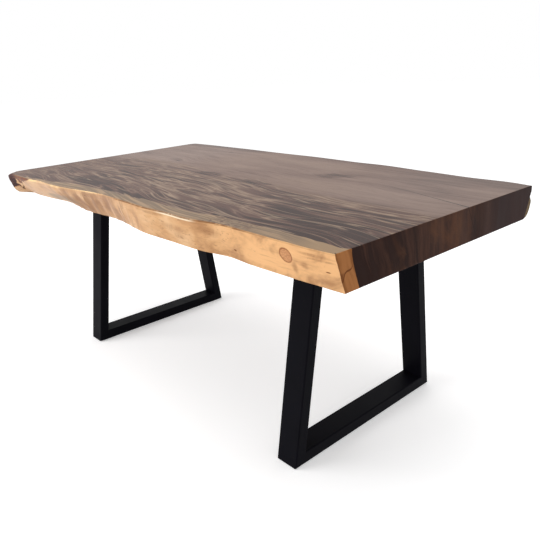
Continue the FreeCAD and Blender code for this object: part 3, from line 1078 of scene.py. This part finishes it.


# the sawn ends: growth rings cut across, with sapwood at the front edge and a thin rim of it low at the back,
# and painted shade beside the check in the front sapwood

endPlan = {
    "dark": rgb(44, 28, 24),
    "mid": rgb(70, 48, 40),
    "light": rgb(92, 66, 52),
    "rust": rgb(98, 64, 44),
    "cool": rgb(56, 44, 44),
    "sap": rgb(166, 110, 65),
    "sapRing": rgb(138, 88, 50),
    "leftSap": edgePlan["pale"],
    "backSap": rgb(116, 98, 74),
    "check": rgb(26, 18, 16),
    # the check's brown, also the painted shade beside it
    "sapCheck": rgb(104, 58, 30),
    "tones": ((0.24, "dark"), (0.5, "mid"), (0.78, "light")),
    "specular": 0.03,
    "bump": (0.3, 0.0005),
    "middleTone": 0.5,
    "push": {"broad": 1.0, "streaks": 0.9, "lines": 0.22},          # of each pattern to either side of it
    "leftSapCover": 0.9,
    "bend": 0.03,
    "sapWobble": 0.005,
    "sapSoft": 0.0012,
    # each goes smoothly from the first value to the second, and gives 0 to 1 or what the last two say
    "fades": {
        # along the slab, to tell its two ends apart
        "atLeft": (-0.5, -0.7),
        "atRight": (0.90, 0.92),
        # across it
        "lean": (0.15, -0.45, 0.04, 0.40),
        "contrast": (0.22, -0.15, 0.35, 1.0),
        "darkerInFront": (-0.10, -0.40, 0.07, 0.30),
        "cool": (0.06, 0.26, 0, 0.75),
        "rim": (-0.001, 0.0015),
        "check": (0.0014, 0.0005, 0, 0.8),
        # where the painted shade beside the check lies across the end
        "sapCorner": (-0.4500, -0.4525, 0, 0.55),
        "sapCheckWider": (-0.4535, -0.4500, 0.55, 1.0),
        "sapCheckStart": (-0.4615, -0.4600),
        "sapCheckPaler": (-0.4250, -0.4350, 0.35, 0.9),
        # down it
        "leftSapDeeper": (0.052, 0.078, 0, 0.080),
        "rimStart": (0.0365, 0.0425),
        "checkFoot": (0.092, 0.075),
        # how deep the painted shade beside the check starts, and its edge at the check
        "sapCornerStart": (0.046, 0.053),
        "sapCornerAbove": (0.0, 0.003),
        "sapCheck": (0.0034, 0.0012),
        # by pattern
        "rust": (0.42, 0.68, 0, 0.5),
        "dots": (0.56, 0.70, 0, 0.35),
        "sapRing": (0.42, 0.60),
        "roughness": (0.3, 0.7, 0.48, 0.62),
    },
    # scale, detail, roughness, warp and offset of each noise, first those that lie still
    "still": {
        "bend": ((1, 5, 9), 3, 0.6),
        "dots": ((500, 500, 500), 2, 0.5),
        "wobble": ((4, 9, 24), 3, 0.6),
    },
    "rings": {
        "broad": ((1, 13, 3), 3, 0.5, 0.4, (0, 4.2, 0)),
        "streaks": ((1, 42, 4), 4, 0.6, 0.3),
        "lines": ((1, 150, 14), 3, 0.6),
        "patches": ((1, 14, 9), 4, 0.6, 0.8, (0, 7.7, 2.1)),
    },
    "rusty": (-0.34, -0.20, 0.04, 0.16),    # where across the end patches start, are full, ease off and end
    # the curved check in the sapwood
    "sapCheckPlace": (-0.4607, 0.0714),     # where it starts, across and below the top
    "sapCheckSize": (0.0352, 0.0373),       # its width and its rise
    "sapCheckLine": (
        (0.0, 0.0), (0.14, 0.24), (0.23, 0.50), (0.29, 0.57), (0.41, 0.63), (0.61, 0.65), (0.81, 0.70),
        (0.93, 0.83), (1.0, 1.0),
    ),
    # place, across and below the top, and slope of the back rim's inner line
    "backRim": (0.4119, 0.0389, 0.385),
    "checkLine": (0.60, 0.40, 0.048),       # how the check leans and bends, and its place across the end
}


def endTone(end):
    # from the darkest ring to the lightest
    push, fades = endPlan["push"], endPlan["fades"]
    contrast = fade(end.y, *fades["contrast"])
    tone = endPlan["middleTone"] + swing(end.broad, push["broad"])
    tone += contrast * swing(end.streaks, push["streaks"]) + swing(end.lines, push["lines"])
    return tone - fade(end.y, *fades["darkerInFront"])


def endSapwood(end):
    fades = endPlan["fades"]
    y, depth = end.y, end.depth
    startY, startDepth = endPlan["sapCheckPlace"]
    width, rise = endPlan["sapCheckSize"]
    above = startDepth - curveOf((y - startY) / width, endPlan["sapCheckLine"]) * rise - depth
    # painted shade in the sapwood beside the check
    corner = fade(above, *fades["sapCornerAbove"]) * fade(y, *fades["sapCorner"])
    corner *= fade(depth, *fades["sapCornerStart"])
    check = fade(abs(above) * fade(y, *fades["sapCheckWider"]), *fades["sapCheck"])
    check *= fade(y, *fades["sapCheckStart"]) * fade(y, *fades["sapCheckPaler"])
    return layered(endPlan["sap"], endPlan, [
        (fade(end.streaks, *fades["sapRing"]), "sapRing"),
        (corner, "sapCheck"),
        (check, "sapCheck"),
        (end.atLeft * endPlan["leftSapCover"], "leftSap"),
    ])


def endWood():
    material, shader, coords = startMaterial("endGrain")
    x, y, z = woodCoords(coords)
    depth = slabHigh.z - z
    fades = endPlan["fades"]
    still = noises(coords, endPlan["still"])
    bend = swing(still["bend"], endPlan["bend"])
    leaning = y - depth * fade(y, *fades["lean"]) + bend
    atLeft, atRight = fade(x, *fades["atLeft"]), fade(x, *fades["atRight"])
    rings = noises(joined(x, leaning, z), endPlan["rings"])
    end = Patterns(y=y, depth=depth, atLeft=atLeft, **still, **rings)
    wobble = swing(end.wobble, endPlan["sapWobble"]) + atLeft * fade(depth, *fades["leftSapDeeper"])
    rimY, rimDepth, slope = endPlan["backRim"]
    rim = fade((depth - rimDepth) * slope + (y - rimY), *fades["rim"])
    rim *= fade(depth, *fades["rimStart"]) * atRight
    checkLean, checkBend, checkY = endPlan["checkLine"]
    check = fade(abs(y - (depth * checkLean + bend * checkBend + checkY)), *fades["check"])
    check *= fade(depth, *fades["checkFoot"]) * atRight
    fill(shader, {
        "Base Color": layered(toned(endTone(end), endPlan), endPlan, [
            (fade(end.patches, *fades["rust"]) * within(y, endPlan["rusty"]), "rust"),
            (fade(y, *fades["cool"]), "cool"),
            (fade(end.dots, *fades["dots"]), "dark"),
            (rim, "backSap"),
            (check, "check"),
            (inSapwood(x, y, depth, wobble, endPlan["sapSoft"]), endSapwood(end)),
        ]),
        "Roughness": fade(end.streaks, *fades["roughness"]),
        "Normal": bump(end.dots + end.lines * 0.6, *endPlan["bump"]),
        "Specular IOR Level": endPlan["specular"],
    })
    return material


slab.data.materials.clear()
for material in (faceWood(), endWood(), edgeWood()):
    slab.data.materials.append(material)
for face, kind in zip(slab.data.polygons, woodKinds):
    face.material_index = kind
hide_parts("tabletop_slab")
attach(slab, "root")
print("wood finished")


# powder coat, metal and rubber

coatPlan = {
    "dark": (0.0024, 0.0023, 0.0040),
    "light": (0.0044, 0.0042, 0.0068),
    "roughness": (0.42, 0.56),
    "specular": 0.032,
    "bump": (0.12, 0.0004),
    "peel": ((650, 650, 650), 2, 0.5),
    "patches": ((9, 9, 9), 4, 0.6),
}
fineMarks = {
    # what the finishes of the small parts share
    "patches": ((60, 60, 60), 3, 0.6),
    "detail": (4, 0.6),
    "roughnessSpan": 0.14,
    "bump": (0.15, 0.0002),
}
smallPartPlans = {
    "bolt_steel": {
        "name": "zincPlate",
        "light": (0.62, 0.62, 0.6),
        "dark": (0.5, 0.5, 0.47),
        "metallic": 1.0,
        "roughness": 0.28,
        "marks": (900, 900, 60),
    },
    "insert_brass": {
        "name": "turnedBrass",
        "light": (0.78, 0.62, 0.3),
        "dark": (0.6, 0.45, 0.2),
        "metallic": 1.0,
        "roughness": 0.3,
        "marks": (300, 300, 2400),
    },
    "pad_rubber": {
        "name": "mouldedRubber",
        "light": (0.032, 0.032, 0.032),
        "dark": (0.022, 0.022, 0.022),
        "metallic": 0.0,
        "roughness": 0.75,
        "marks": (700, 700, 700),
    },
}


def powderCoat():
    material, shader, coords = startMaterial("blackPowderCoat")
    peel = stretchedNoise(coords, *coatPlan["peel"])
    patches = stretchedNoise(coords, *coatPlan["patches"])
    fill(shader, {
        "Base Color": ramp(patches, ((0.3, coatPlan["dark"]), (0.7, coatPlan["light"]))),
        "Roughness": fade(patches, 0.25, 0.75, *coatPlan["roughness"]),
        "Normal": bump(peel, *coatPlan["bump"]),
        "Specular IOR Level": coatPlan["specular"],
    })
    return material


def smallPartFinish(plan):
    # bolts, washers, inserts and pads: a patchy colour with fine marks in it
    material, shader, coords = startMaterial(plan["name"])
    marks = stretchedNoise(coords, plan["marks"], *fineMarks["detail"])
    patches = stretchedNoise(coords, *fineMarks["patches"])
    roughest = plan["roughness"] + fineMarks["roughnessSpan"]
    fill(shader, {
        "Base Color": ramp(patches, ((0.35, plan["dark"]), (0.65, plan["light"]))),
        "Metallic": plan["metallic"],
        "Roughness": fade(marks, 0.3, 0.7, plan["roughness"], roughest),
        "Normal": bump(marks, *fineMarks["bump"]),
    })
    return material


finishes = {slot: smallPartFinish(plan) for slot, plan in smallPartPlans.items()}
finishes["frame_black"] = powderCoat()
for part in frame["record"]["subparts"]:
    if part["material_slot"] in finishes:
        node = cadNodes[part["node"]]
        node.data.materials.clear()
        node.data.materials.append(finishes[part["material_slot"]])
print("frames finished")


# floor and light

studio = {
    "worldLight": 0.75,
    # place, size and power
    "lamps": {"keyLamp": ((-2.2, -3.6, 2.6), 3.0, 95), "topLamp": ((-0.4, 0.4, 3.4), 3.2, 60)},
    "lampAim": (0, 0, 0.5),
    "floorSize": 60,
    "floorColour": (0.90, 0.90, 0.905, 1),
    "floorRoughness": 0.9,
    "floorGlow": 0.34,
    "white": (1, 1, 1, 1),
}


def seenDirectly(tree):
    # 1 for what the camera sees itself, in a mirror or through glass, 0 for light on the object
    path = addNode(tree, "LightPath")
    camera, glossy, through = (Signal(path.outputs["Is " + kind + " Ray"])
                               for kind in ("Camera", "Glossy", "Transmission"))
    return calc("MINIMUM", camera + glossy + through, 1.0)


def makeWorld():
    world = bpy.data.worlds.new("paleStudio")
    bpy.context.scene.world = world
    world.use_nodes = True
    strength = fade(seenDirectly(world.node_tree), 0, 1, studio["worldLight"], 1.0)
    fill(world.node_tree.nodes["Background"], {"Color": studio["white"], "Strength": strength})


def makeFloor():
    bpy.ops.mesh.primitive_plane_add(size=studio["floorSize"], location=(0, 0, 0))
    floor = bpy.context.object
    floor.name = "studioFloor"
    material, shader, _ = startMaterial("paleFloor")
    fill(shader, {
        "Base Color": studio["floorColour"],
        "Roughness": studio["floorRoughness"],
        "Specular IOR Level": 0.0,
        "Emission Color": studio["white"],
        "Emission Strength": seenDirectly(material.node_tree) * studio["floorGlow"],
    })
    floor.data.materials.append(material)


def softLamp(name, place, size, power):
    bpy.ops.object.light_add(type="AREA", location=place)
    lamp = bpy.context.object
    lamp.name = name
    lamp.data.shape = "SQUARE"
    lamp.data.size = size
    lamp.data.energy = power
    lamp.rotation_euler = (Vector(studio["lampAim"]) - Vector(place)).to_track_quat("-Z", "Y").to_euler()


deselectAll()
makeWorld()
makeFloor()
for name, lampPlan in studio["lamps"].items():
    softLamp(name, *lampPlan)
print("studio lit")
